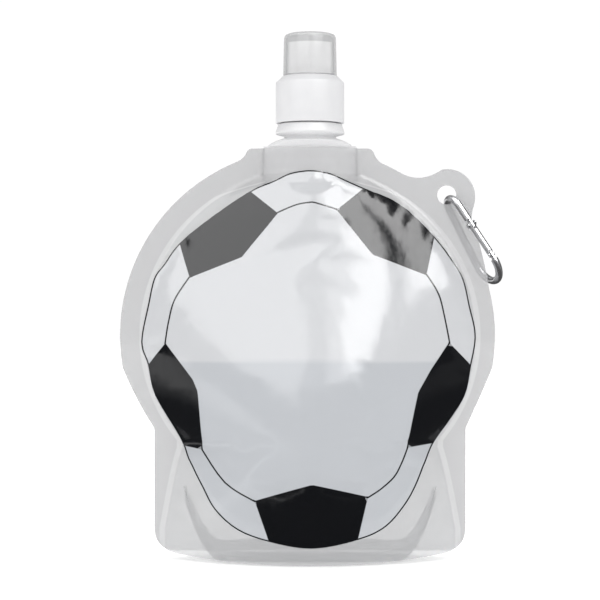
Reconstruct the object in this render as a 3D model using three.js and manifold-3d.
// Folding water bottle: a stand-up film pouch with a welded spout, a screw cap with a push-pull nozzle
// under a dust cover, and a small snap hook that hangs in a punched ear.
// Millimetres, +Z up. The origin is the middle of the base, y = 0 is the plane where the two films meet,
// and the printed front faces -Y.

import * as THREE from 'three';
import { mergeVertices } from 'three/addons/utils/BufferGeometryUtils.js';
import Module from 'manifold-3d';

// ---- driving dimensions ----

// pouch outline, in the film plane
const BODY_RADIUS = 75;
const BODY_CENTRE_X = -1; // the body's outer edge is cut a little off the spout's axis
const BODY_CENTRE_Z = 89;
const FOOT_HALF_WIDTH = 62.2;
const FOOT_CORNER_RADIUS = 9;
const FOOT_CORNER_LIFT = 2.5; // the bottom edge curves up to this height at the foot's corners
const WAIST_Z = 52; // where the foot meets the round body
const SHOULDER_HALF_WIDTH = 24;
const TOP_EDGE_Z = 163.8;
const EAR_X = 54.9;
const EAR_Z = 144.4;
const EAR_RADIUS = 11.2;
const EAR_HOLE = { x: 54.7, z: 145.2, radius: 3.8 };

// pouch film and its filled depth
const FILM = 0.4; // one laminate, drawn thicker than the real 0.15 mm
const INSIDE_RADIUS = 66; // of the body's inside, between the welds, about the spout's axis
const FOOT_WELD = 9.5;
const MAX_HALF_DEPTH = 27;
const BASE_HALF_DEPTH = 24;
const TOP_HALF_DEPTH = 8;
const DEEPEST_Z = 28;
const FOLD_Z = 60; // the crease about which the empty foot folds behind the body
const CLEAR = 0.4; // gap between a piece and the film beside it

// bottom gusset
const GUSSET_HALF_LENGTH = 50;
const FLOOR_HALF_LENGTH = 35; // the flat floor that the pouch stands on
const FLOOR_SHARE = 0.6; // share of the gusset's depth that is flat
const GUSSET_END_RISE = 24;
const GUSSET_RIM_RISE = 5;
const GUSSET_FILM = 0.5;

// spout
const BOAT_HALF_LENGTH = 18.5;
const BOAT_POCKET = { halfLength: 20, halfDepth: 10.2, startZ: 134, fullZ: 149 };
const BOAT_BOTTOM = 149.5;
const BOAT_TOP = 163.4;
const BOAT_RIBS = 4;
const BORE_RADIUS = 7.5;
const BOAT_TUBE_RADIUS = 9.2;
const DOME_FOOT = 164.2;
const DOME_ROUND_FROM = 167.8; // below this the shoulder is flattened front to back
const DOME_RADIUS = 10.4;
const NECK_RADIUS = 10.2;
const NECK_TOP = 187.4;
const NECK_CHAMFER = 0.6;

// thread: round ribs, one on the neck and one in the cap, half a pitch apart
const THREAD_PITCH = 3.2;
const THREAD_RADIUS = 0.95;
const THREAD_TURNS = 1.25;
const THREAD_START_Z = 177;
const NECK_THREAD_RADIUS = 10.35;
const CAP_THREAD_RADIUS = 11.75;

// cap, nozzle and dust cover
const CAP_RADIUS = 13.7;
const CAP_INSIDE_RADIUS = 11.9;
const CAP_BOTTOM = 173.8;
const CAP_SHOULDER = 190;
const CAP_LEDGE = 192.6;
const CAP_BOSS = { radius: 9.4, bore: 8.5, top: 194.6 };
const DECK_UNDERSIDE = 188.9;
const DECK_TOP = 190.9;
const CHIMNEY = { radius: 5, bore: 3.4, top: 199.2 };
const PLUG = { radius: 2, bottom: 196.6, top: 203.6, chamfer: 0.6 };
const SPOKES = 3; // they carry the plug in the chimney's bore
const SEAL = { bore: 7.6, radius: 11.4, bottomGap: 0.1, topGap: 0.2 };
const NOZZLE_BOTTOM = 192.2;
const NOZZLE_TOP = 204.6;
const NOZZLE_ROOF = 201.6;
const NOZZLE_CLEAR = 0.35;
const COVER_BOTTOM = 192.9;
const COVER_TOP = 209.7;
const COVER_WALL = 1;
const COVER_RADIUS = { base: 10.75, top: 10.4 };

// snap hook: its loop is pear-shaped, narrow where it passes through the ear
const HOOK_ORIGIN = new THREE.Vector3(55.65, 0, 143.55);
const HOOK_TILT = THREE.MathUtils.degToRad(30); // of the long axis, from hanging straight down
const HOOK_TURN = THREE.MathUtils.degToRad(24.3); // of the loop about its long axis, from square to the film
const HOOK_LENGTH = 37.4; // along the rod's centreline, bend to bend
const ROD_RADIUS = 1.5;
const TOP_BEND = 4.3;
const BOTTOM_BEND = 7.4;
const GATE_RADIUS = 1.35;
const GATE_BORE = 0.8;
const ROD_END_AT = 7.5; // distances along the gate leg, from the end of the top bend
const GATE_FROM = 8.4;
const PIVOT_AT = 9.4;
const NOSE_PIN_AT = 23.5;
const GATE_TO = 24.9;
const PIN_HOLE = 0.75;
const TONGUE = 0.9; // thickness of the flattened rod ends that the gate straddles
const SLOT = 1.5;
const RIVET = { radius: 0.45, headRadius: 1.1, headHeight: 0.5 };
const NOSE_PIN_RADIUS = 0.45;
const PIN_NOTCH = 1.5;

// inside the gate, in lengths down from the pivot
const GATE_BORE_SPAN = { from: 2.1, to: 10.1 };
const PLUNGER = { tip: 1.9, head: 2.2, headEnd: 3.4, end: 4.6, headRadius: 0.55, stemRadius: 0.3 };
const SPRING = { from: 5, to: 9.6, turns: 5, radius: 0.5, wire: 0.14 };

const AROUND = 28; // sides of a turned piece

// ---- solids ----

const wasm = await Module();
wasm.setup();

function solidOf(geometry) {
  const bare = geometry.clone();
  bare.deleteAttribute('normal');
  bare.deleteAttribute('uv');
  const merged = mergeVertices(bare, 1e-4);
  return new wasm.Manifold(
    new wasm.Mesh({
      numProp: 3,
      vertProperties: new Float32Array(merged.attributes.position.array),
      triVerts: new Uint32Array(merged.index.array),
    }),
  );
}

function geometryOf(solid) {
  const mesh = solid.getMesh();
  const geometry = new THREE.BufferGeometry();
  geometry.setAttribute('position', new THREE.BufferAttribute(mesh.vertProperties, 3));
  geometry.setIndex(new THREE.BufferAttribute(mesh.triVerts, 1));
  geometry.computeVertexNormals();
  return geometry;
}

function union(...geometries) {
  return geometryOf(geometries.map(solidOf).reduce((sum, next) => sum.add(next)));
}

function cut(geometry, ...tools) {
  return geometryOf(tools.map(solidOf).reduce((left, tool) => left.subtract(tool), solidOf(geometry)));
}

function common(geometry, other) {
  return geometryOf(solidOf(geometry).intersect(solidOf(other)));
}

// A ring or cup turned about +Z from a closed profile of [radius, z], counter-clockwise.
function turned(profile, sides = AROUND) {
  const points = profile.map(([radius, z]) => new THREE.Vector2(radius, z));
  points.push(points[0].clone());
  return new THREE.LatheGeometry(points, sides).rotateX(Math.PI / 2);
}

// A solid turned about +Z whose profile starts and ends on the axis.
function turnedOnAxis(profile, sides = AROUND) {
  const points = profile.map(([radius, z]) => new THREE.Vector2(radius, z));
  return new THREE.LatheGeometry(points, sides).rotateX(Math.PI / 2);
}

// A plate whose outline is drawn in x and z, from y = front to y = back.
function plate(shape, front, back) {
  const settings = { depth: back - front, bevelEnabled: false, curveSegments: 10 };
  return new THREE.ExtrudeGeometry(shape, settings).rotateX(Math.PI / 2).translate(0, back, 0);
}

// A round bar along a curve.
function bar(curve, radius, steps, sides) {
  const section = new THREE.Shape(
    Array.from({ length: sides }, (_, i) => {
      const angle = (2 * Math.PI * i) / sides;
      return new THREE.Vector2(radius * Math.cos(angle), radius * Math.sin(angle));
    }),
  );
  return new THREE.ExtrudeGeometry(section, { steps, extrudePath: curve, bevelEnabled: false });
}

// A box whose grid of vertices is moved by place(u, layer, v), with u and v from -1 to 1 and layer 0 or 1.
function mappedBox(alongU, alongV, place) {
  const geometry = new THREE.BoxGeometry(2, 1, 2, alongU, 1, alongV);
  const position = geometry.attributes.position;
  for (let i = 0; i < position.count; i += 1) {
    const point = place(position.getX(i), position.getY(i) + 0.5, position.getZ(i));
    position.setXYZ(i, point.x, point.y, point.z);
  }
  return geometry;
}

class Helix extends THREE.Curve {
  constructor(radius, startZ) {
    super();
    this.radius = radius;
    this.startZ = startZ;
  }

  getPoint(t, target = new THREE.Vector3()) {
    const angle = 2 * Math.PI * THREAD_TURNS * t;
    const z = this.startZ + THREAD_PITCH * THREAD_TURNS * t;
    return target.set(this.radius * Math.cos(angle), this.radius * Math.sin(angle), z);
  }
}

// ---- pouch ----

function pouchOutline() {
  const bodyReach = (z) => Math.sqrt(BODY_RADIUS ** 2 - (z - BODY_CENTRE_Z) ** 2);
  const right = (z) => BODY_CENTRE_X + bodyReach(z);
  const left = (z) => BODY_CENTRE_X - bodyReach(z);
  const bodyAngle = (z) => Math.asin((z - BODY_CENTRE_Z) / BODY_RADIUS);
  const waistTop = 76;
  const waistBend = FOOT_HALF_WIDTH + 5.5;
  const earRoot = 107;
  const valley = 153.6;
  const shoulderRoot = 158;
  const foot = FOOT_HALF_WIDTH;
  const corner = FOOT_CORNER_RADIUS;

  const outline = new THREE.Shape();
  const bodyArc = (from, to) => outline.absarc(BODY_CENTRE_X, BODY_CENTRE_Z, BODY_RADIUS, from, to, false);
  outline.moveTo(0, 0);
  outline.quadraticCurveTo(foot * 0.5, 0, foot - corner, FOOT_CORNER_LIFT);
  outline.quadraticCurveTo(foot, FOOT_CORNER_LIFT + 1, foot, FOOT_CORNER_LIFT + corner + 1);
  outline.lineTo(foot, WAIST_Z);
  outline.quadraticCurveTo(BODY_CENTRE_X + waistBend, WAIST_Z + 9.5, right(waistTop), waistTop);
  bodyArc(bodyAngle(waistTop), bodyAngle(earRoot));
  outline.quadraticCurveTo(EAR_X + 14, EAR_Z - 20.4, EAR_X + 9.8, EAR_Z - 8.9);
  outline.quadraticCurveTo(EAR_X + 9.7, EAR_Z - 6, EAR_X + 10.7, EAR_Z - 3.31);
  outline.absarc(EAR_X, EAR_Z, EAR_RADIUS, -0.3, 1.75, false);
  outline.quadraticCurveTo(EAR_X - 10.4, EAR_Z + 5.4, right(valley), valley);
  bodyArc(bodyAngle(valley), bodyAngle(shoulderRoot));
  outline.quadraticCurveTo(SHOULDER_HALF_WIDTH + 2.5, 159.5, SHOULDER_HALF_WIDTH + 1.5, 162);
  outline.quadraticCurveTo(SHOULDER_HALF_WIDTH + 1, TOP_EDGE_Z, SHOULDER_HALF_WIDTH - 1, TOP_EDGE_Z);
  outline.lineTo(1 - SHOULDER_HALF_WIDTH, TOP_EDGE_Z);
  outline.quadraticCurveTo(-SHOULDER_HALF_WIDTH - 1, TOP_EDGE_Z, -SHOULDER_HALF_WIDTH - 1.5, 162);
  outline.quadraticCurveTo(-SHOULDER_HALF_WIDTH - 2.5, 159.5, left(shoulderRoot), shoulderRoot);
  bodyArc(Math.PI - bodyAngle(shoulderRoot), Math.PI - bodyAngle(waistTop));
  outline.quadraticCurveTo(BODY_CENTRE_X - waistBend, WAIST_Z + 9.5, -foot, WAIST_Z);
  outline.lineTo(-foot, FOOT_CORNER_LIFT + corner + 1);
  outline.quadraticCurveTo(-foot, FOOT_CORNER_LIFT + 1, corner - foot, FOOT_CORNER_LIFT);
  outline.quadraticCurveTo(-foot * 0.5, 0, 0, 0);

  const hole = new THREE.Path();
  hole.absarc(EAR_HOLE.x, EAR_HOLE.z, EAR_HOLE.radius, 0, 2 * Math.PI, true);
  outline.holes.push(hole);
  return outline;
}

// Half the width between the side welds: straight at the foot, round above it.
function insideHalfWidth(z) {
  const round = INSIDE_RADIUS ** 2 - (z - BODY_CENTRE_Z) ** 2;
  const roundWidth = round > 0 ? Math.sqrt(round) : 0;
  const footWidth = z < WAIST_Z ? FOOT_HALF_WIDTH - FOOT_WELD : 0;
  return Math.max(roundWidth, footWidth);
}

// Half the front-to-back depth on the middle line of the filled pouch.
function middleHalfDepth(z) {
  if (z < DEEPEST_Z) {
    return MAX_HALF_DEPTH - (MAX_HALF_DEPTH - BASE_HALF_DEPTH) * ((DEEPEST_Z - z) / DEEPEST_Z) ** 2;
  }
  const rise = Math.min((z - DEEPEST_Z) / (TOP_EDGE_Z - DEEPEST_Z), 1);
  return TOP_HALF_DEPTH + ((MAX_HALF_DEPTH - TOP_HALF_DEPTH) * (1 + Math.cos(Math.PI * rise))) / 2;
}

// Distance from y = 0 to the inside of either film.
function halfDepth(x, z) {
  const width = insideHalfWidth(z);
  const body = Math.abs(x) < width ? middleHalfDepth(z) * (1 - (x / width) ** 2) : 0;
  const grown = THREE.MathUtils.smoothstep(z, BOAT_POCKET.startZ, BOAT_POCKET.fullZ);
  const pocket = grown * BOAT_POCKET.halfDepth * (1 - (x / BOAT_POCKET.halfLength) ** 2);
  return Math.max(body, pocket, 0);
}

// One film between two heights. side is -1 for the front and 1 for the back.
function filmPanel(side, fromZ, toZ, rows) {
  const weldShare = 0.75; // share of the grid's columns that lie between the welds
  const reach = BODY_RADIUS + 5;
  const sheet = mappedBox(16, rows, (u, layer, v) => {
    const z = THREE.MathUtils.mapLinear(v, -1, 1, fromZ, toZ);
    const width = Math.max(insideHalfWidth(z), BOAT_POCKET.halfLength);
    const across = Math.abs(u);
    const x =
      across <= weldShare
        ? (width * across) / weldShare
        : THREE.MathUtils.mapLinear(across, weldShare, 1, width, reach);
    const inside = halfDepth(x, z);
    const outward = side < 0 ? 1 - layer : layer;
    return new THREE.Vector3(Math.sign(u) * x, side * (inside + outward * FILM), z);
  });
  const depth = MAX_HALF_DEPTH + 2;
  return common(sheet, plate(pouchOutline(), -depth, depth));
}

function bottomGusset() {
  return mappedBox(20, 10, (u, layer, v) => {
    const x = GUSSET_HALF_LENGTH * u;
    const beyond = Math.max(Math.abs(x) - FLOOR_HALF_LENGTH, 0) / (GUSSET_HALF_LENGTH - FLOOR_HALF_LENGTH);
    const floor = GUSSET_END_RISE * beyond ** 2;
    const rim = GUSSET_RIM_RISE * (Math.max(Math.abs(v) - FLOOR_SHARE, 0) / (1 - FLOOR_SHARE)) ** 2;
    const y = -v * (halfDepth(x, floor) - CLEAR);
    return new THREE.Vector3(x, y, floor + rim + layer * GUSSET_FILM);
  });
}

// ---- spout ----

// Plan of the weld boat, inset from the pocket that the films form round it.
function boatPlan(inset) {
  const pocketAt = (x) => BOAT_POCKET.halfDepth * (1 - (x / BOAT_POCKET.halfLength) ** 2);
  const tipHalfDepth = 0.4;
  const stations = 16;
  const front = [];
  const back = [];
  for (let i = 0; i <= stations; i += 1) {
    const x = BOAT_HALF_LENGTH * ((2 * i) / stations - 1);
    const y = Math.max(pocketAt(x) - CLEAR - inset, tipHalfDepth);
    front.push(new THREE.Vector2(x, -y));
    back.unshift(new THREE.Vector2(x, y));
  }
  return new THREE.Shape([...front, ...back]);
}

function boatSlice(inset, bottom, top) {
  const settings = { depth: top - bottom, bevelEnabled: false };
  return new THREE.ExtrudeGeometry(boatPlan(inset), settings).translate(0, 0, bottom);
}

// The shoulder above the boat: long at its foot, round at the neck.
function spoutDome() {
  const flatness = 0.72;
  const dome = turnedOnAxis([
    [0, DOME_FOOT],
    [17.2, DOME_FOOT],
    [16.5, DOME_FOOT + 1],
    [14.2, DOME_FOOT + 2.3],
    [DOME_RADIUS, DOME_ROUND_FROM],
    [DOME_RADIUS, DOME_ROUND_FROM + 1],
    [0, DOME_ROUND_FROM + 1],
  ]);
  const position = dome.attributes.position;
  for (let i = 0; i < position.count; i += 1) {
    const roundness = THREE.MathUtils.smoothstep(position.getZ(i), DOME_FOOT, DOME_ROUND_FROM);
    position.setY(i, position.getY(i) * THREE.MathUtils.lerp(flatness, 1, roundness));
  }
  return dome;
}

function spout() {
  const ribStep = (BOAT_TOP - BOAT_BOTTOM) / (2 * BOAT_RIBS - 1);
  const ribs = Array.from({ length: BOAT_RIBS }, (_, i) => {
    const bottom = BOAT_BOTTOM + 2 * i * ribStep;
    return boatSlice(0, bottom, bottom + ribStep);
  });
  const grooveDepth = 0.8;
  const core = boatSlice(grooveDepth, BOAT_BOTTOM + 0.2, BOAT_TOP - 0.2);
  const tube = turnedOnAxis([
    [0, BOAT_BOTTOM + 0.4],
    [BOAT_TUBE_RADIUS, BOAT_BOTTOM + 0.4],
    [BOAT_TUBE_RADIUS, DOME_ROUND_FROM + 0.6],
    [0, DOME_ROUND_FROM + 0.6],
  ]);
  const neck = turnedOnAxis([
    [0, DOME_ROUND_FROM + 0.4],
    [DOME_RADIUS, DOME_ROUND_FROM + 0.4],
    [DOME_RADIUS, 168.6],
    [13.7, 169.4],
    [13.9, 170],
    [12.7, 173.4],
    [NECK_RADIUS, 173.4],
    [NECK_RADIUS, NECK_TOP - NECK_CHAMFER],
    [NECK_RADIUS - NECK_CHAMFER, NECK_TOP],
    [0, NECK_TOP],
  ]);
  const thread = bar(new Helix(NECK_THREAD_RADIUS, THREAD_START_Z), THREAD_RADIUS, 30, 6);
  const bore = turnedOnAxis([
    [0, BOAT_BOTTOM - 1],
    [BORE_RADIUS, BOAT_BOTTOM - 1],
    [BORE_RADIUS, NECK_TOP + 1],
    [0, NECK_TOP + 1],
  ]);
  return cut(union(...ribs, core, tube, spoutDome(), neck, thread), bore);
}

// ---- cap, seal, nozzle and dust cover ----

function screwCap() {
  const shell = turned([
    [CAP_INSIDE_RADIUS, CAP_BOTTOM],
    [CAP_RADIUS, CAP_BOTTOM],
    [CAP_RADIUS, CAP_SHOULDER],
    [11, CAP_LEDGE],
    [CAP_BOSS.radius, CAP_LEDGE],
    [CAP_BOSS.radius, CAP_BOSS.top],
    [CAP_BOSS.bore, CAP_BOSS.top],
    [CAP_BOSS.bore, DECK_TOP],
    [CHIMNEY.radius, DECK_TOP],
    [CHIMNEY.radius, CHIMNEY.top],
    [CHIMNEY.bore, CHIMNEY.top],
    [CHIMNEY.bore, DECK_UNDERSIDE],
    [CAP_INSIDE_RADIUS, DECK_UNDERSIDE],
  ]);
  const thread = bar(new Helix(CAP_THREAD_RADIUS, THREAD_START_Z + THREAD_PITCH / 2), THREAD_RADIUS, 30, 6);
  const wallMiddle = (CAP_INSIDE_RADIUS + CAP_RADIUS) / 2;
  const threadLimit = turnedOnAxis([
    [0, CAP_BOTTOM],
    [wallMiddle, CAP_BOTTOM],
    [wallMiddle, CAP_SHOULDER],
    [0, CAP_SHOULDER],
  ]);
  const plug = turnedOnAxis(
    [
      [0, PLUG.bottom],
      [PLUG.radius, PLUG.bottom],
      [PLUG.radius, PLUG.top - PLUG.chamfer],
      [PLUG.radius - PLUG.chamfer, PLUG.top],
      [0, PLUG.top],
    ],
    16,
  );
  const spokeHeight = 2;
  const spokes = Array.from({ length: SPOKES }, (_, i) =>
    new THREE.BoxGeometry(CHIMNEY.bore, 1.2, spokeHeight)
      .translate(CHIMNEY.bore / 2 + 0.9, 0, PLUG.bottom + spokeHeight / 2)
      .rotateZ((2 * Math.PI * i) / SPOKES),
  );
  return union(shell, common(thread, threadLimit), plug, ...spokes);
}

function capSeal() {
  const bottom = NECK_TOP + SEAL.bottomGap;
  const top = DECK_UNDERSIDE - SEAL.topGap;
  return turned([
    [SEAL.bore, bottom],
    [SEAL.radius, bottom],
    [SEAL.radius, top],
    [SEAL.bore, top],
  ]);
}

function nozzle() {
  const bore = CHIMNEY.radius + NOZZLE_CLEAR;
  const mouth = PLUG.radius + NOZZLE_CLEAR;
  return turned([
    [bore, NOZZLE_BOTTOM],
    [7, NOZZLE_BOTTOM],
    [7, 195],
    [8.2, 195.3],
    [8.2, 196.5],
    [6.6, 197.6],
    [6.2, 200.6],
    [6.9, 202.4],
    [6.9, 203.6],
    [6, NOZZLE_TOP],
    [mouth, NOZZLE_TOP],
    [mouth, NOZZLE_ROOF],
    [bore, NOZZLE_ROOF],
  ]);
}

function dustCover() {
  const { base, top } = COVER_RADIUS;
  const ceiling = COVER_TOP - COVER_WALL - 0.2;
  return turnedOnAxis([
    [0, ceiling],
    [top - COVER_WALL - 0.8, ceiling],
    [top - COVER_WALL, ceiling - 0.8],
    [base - COVER_WALL, COVER_BOTTOM],
    [base, COVER_BOTTOM],
    [top, COVER_TOP - 1.8],
    [top - 0.5, COVER_TOP - 0.7],
    [top - 1.8, COVER_TOP - 0.15],
    [0, COVER_TOP],
  ]);
}

// ---- snap hook ----
// In the hook's own frame the loop lies in x and z: x points to the gate leg and -z down the loop.

const LEG_LEAN = Math.asin((BOTTOM_BEND - TOP_BEND) / (HOOK_LENGTH - TOP_BEND - BOTTOM_BEND));

// A point on the gate leg (side 1) or the spine leg (side -1), at a distance from the end of the top bend.
function legPoint(side, distance) {
  const across = TOP_BEND * Math.cos(LEG_LEAN) + distance * Math.sin(LEG_LEAN);
  const down = TOP_BEND * (1 - Math.sin(LEG_LEAN)) + distance * Math.cos(LEG_LEAN);
  return new THREE.Vector3(side * across, 0, -down);
}

function bendPoints(radius, centreDown, fromAngle, toAngle, count) {
  return Array.from({ length: count }, (_, i) => {
    const angle = THREE.MathUtils.lerp(fromAngle, toAngle, i / (count - 1));
    return new THREE.Vector3(radius * Math.cos(angle), 0, radius * Math.sin(angle) - centreDown);
  });
}

const LEG_LENGTH = (HOOK_LENGTH - TOP_BEND - BOTTOM_BEND) * Math.cos(LEG_LEAN);

function hookRod() {
  const lean = LEG_LEAN;
  const bottomBend = bendPoints(BOTTOM_BEND, HOOK_LENGTH - BOTTOM_BEND, lean, -Math.PI - lean, 11);
  const topBend = bendPoints(TOP_BEND, TOP_BEND, Math.PI - lean, lean, 9);
  const spine = [0.75, 0.5, 0.25].map((share) => legPoint(-1, share * LEG_LENGTH));
  const gateSide = [0.5, 1].map((share) => legPoint(1, share * ROD_END_AT));
  const path = new THREE.CatmullRomCurve3([...bottomBend, ...spine, ...topBend, ...gateSide]);
  return bar(path, ROD_RADIUS, 44, 10);
}

// Turns a piece drawn along +Z at the gate's pivot onto the gate leg, which leans out as it goes down.
function ontoGateLeg(geometry) {
  const pivot = legPoint(1, PIVOT_AT);
  return geometry.rotateY(-LEG_LEAN).translate(pivot.x, 0, pivot.z);
}

function tongue(fromDistance, toDistance, width) {
  const length = toDistance - fromDistance;
  return new THREE.BoxGeometry(width, TONGUE, length).translate(0, 0, PIVOT_AT - fromDistance - length / 2);
}

function pinAcross(distance, radius, length) {
  return new THREE.CylinderGeometry(radius, radius, length, 12).translate(0, 0, PIVOT_AT - distance);
}

function hookFrame() {
  const pivotTongue = ontoGateLeg(tongue(ROD_END_AT - 1, PIVOT_AT + 1.3, 2.2));
  const noseTongue = ontoGateLeg(tongue(NOSE_PIN_AT - 1, LEG_LENGTH + 1, 2));
  const pivotHole = ontoGateLeg(pinAcross(PIVOT_AT, PIN_HOLE, 6));
  const noseHole = ontoGateLeg(pinAcross(NOSE_PIN_AT, PIN_HOLE, 6));
  return cut(union(hookRod(), pivotTongue, noseTongue), pivotHole, noseHole);
}

function rodAlong(radius, from, to, sides) {
  const rod = new THREE.CylinderGeometry(radius, radius, to - from, sides);
  return rod.rotateX(Math.PI / 2).translate(0, 0, -(from + to) / 2);
}

// The gate straddles both tongues, and its nose drops over the pin through a notch open to the outside.
function hookGate() {
  const tube = rodAlong(GATE_RADIUS, GATE_FROM - PIVOT_AT, GATE_TO - PIVOT_AT, 16);
  const bore = rodAlong(GATE_BORE, GATE_BORE_SPAN.from, GATE_BORE_SPAN.to, 12);
  const wide = 4 * GATE_RADIUS;
  const pivotSlot = new THREE.BoxGeometry(wide, SLOT, 4.4).translate(0, 0, -0.3);
  const noseSlot = new THREE.BoxGeometry(wide, SLOT, 4).translate(0, 0, PIVOT_AT - GATE_TO + 0.9);
  const pivotHole = pinAcross(PIVOT_AT, PIN_HOLE, 6);
  const pinNotch = new THREE.BoxGeometry(2 * GATE_RADIUS, 4 * GATE_RADIUS, PIN_NOTCH);
  pinNotch.translate(PIN_NOTCH / 2, 0, PIVOT_AT - NOSE_PIN_AT);
  return cut(tube, bore, pivotSlot, noseSlot, pivotHole, pinNotch);
}

function pivotRivet() {
  const half = GATE_RADIUS + 0.2;
  const crown = half + RIVET.headHeight;
  const domed = RIVET.headRadius - 0.4;
  const edge = half + 0.15;
  return turnedOnAxis(
    [
      [0, -crown],
      [domed, -crown],
      [RIVET.headRadius, -edge],
      [RIVET.headRadius, -half],
      [RIVET.radius, -half],
      [RIVET.radius, half],
      [RIVET.headRadius, half],
      [RIVET.headRadius, edge],
      [domed, crown],
      [0, crown],
    ],
    12,
  ).rotateX(Math.PI / 2);
}

function nosePin() {
  return pinAcross(NOSE_PIN_AT, NOSE_PIN_RADIUS, 2 * GATE_RADIUS);
}

function gatePlunger() {
  return turnedOnAxis(
    [
      [0, -PLUNGER.end],
      [PLUNGER.stemRadius, -PLUNGER.end],
      [PLUNGER.stemRadius, -PLUNGER.headEnd],
      [PLUNGER.headRadius, -PLUNGER.headEnd],
      [PLUNGER.headRadius, -PLUNGER.head],
      [0, -PLUNGER.tip],
    ],
    10,
  );
}

class SpringCoil extends THREE.Curve {
  getPoint(t, target = new THREE.Vector3()) {
    const angle = 2 * Math.PI * SPRING.turns * t;
    const z = -THREE.MathUtils.lerp(SPRING.from, SPRING.to, t);
    return target.set(SPRING.radius * Math.cos(angle), SPRING.radius * Math.sin(angle), z);
  }
}

function gateSpring() {
  return bar(new SpringCoil(), SPRING.wire, 50, 5);
}

// ---- assembly ----

const filmClear = { color: 0xcdced0, roughness: 0.25, metalness: 0 };
const whitePlastic = { color: 0xf0f0f2, roughness: 0.45, metalness: 0 };
const milkyPlastic = { color: 0xe1e1e2, roughness: 0.4, metalness: 0 };
const clearPlastic = { color: 0xe6e8ea, roughness: 0.1, metalness: 0 };
const softWhite = { color: 0xdcdcdc, roughness: 0.7, metalness: 0 };
const brightMetal = { color: 0xd8d9dc, roughness: 0.22, metalness: 1 };
const springSteel = { color: 0xa8aaad, roughness: 0.35, metalness: 1 };

function piece(name, geometry, finish) {
  const mesh = new THREE.Mesh(geometry, new THREE.MeshStandardMaterial(finish));
  mesh.name = name;
  return mesh;
}

const bottle = new THREE.Group();

bottle.add(
  piece('front_film_upper', filmPanel(-1, FOLD_Z, TOP_EDGE_Z + 1, 12), filmClear),
  piece('back_film_upper', filmPanel(1, FOLD_Z, TOP_EDGE_Z + 1, 12), filmClear),
  piece('front_film_lower', filmPanel(-1, -1, FOLD_Z, 8), filmClear),
  piece('back_film_lower', filmPanel(1, -1, FOLD_Z, 8), filmClear),
  piece('bottom_gusset', bottomGusset(), filmClear),
  piece('spout', spout(), milkyPlastic),
  piece('cap_seal', capSeal(), softWhite),
  piece('screw_cap', screwCap(), whitePlastic),
  piece('nozzle', nozzle(), milkyPlastic),
  piece('dust_cover', dustCover(), clearPlastic),
);

const hook = new THREE.Group();
const longAxis = new THREE.Vector3(-Math.sin(HOOK_TILT), 0, Math.cos(HOOK_TILT));
const square = new THREE.Vector3(Math.cos(HOOK_TILT), 0, Math.sin(HOOK_TILT));
const forward = new THREE.Vector3(0, -Math.cos(HOOK_TURN), 0);
const towardGate = square.multiplyScalar(Math.sin(HOOK_TURN)).add(forward);
const acrossLoop = new THREE.Vector3().crossVectors(longAxis, towardGate);
hook.quaternion.setFromRotationMatrix(new THREE.Matrix4().makeBasis(towardGate, acrossLoop, longAxis));
hook.position.copy(HOOK_ORIGIN);
hook.add(piece('carabiner_frame', hookFrame(), brightMetal));

const gateLeg = new THREE.Group();
gateLeg.position.copy(legPoint(1, PIVOT_AT));
gateLeg.rotation.y = -LEG_LEAN;
gateLeg.add(
  piece('carabiner_gate', hookGate(), brightMetal),
  piece('gate_pivot_rivet', pivotRivet(), springSteel),
  piece('nose_pin', nosePin(), springSteel),
  piece('gate_plunger', gatePlunger(), springSteel),
  piece('gate_spring', gateSpring(), springSteel),
);
hook.add(gateLeg);
bottle.add(hook);

export default bottle;
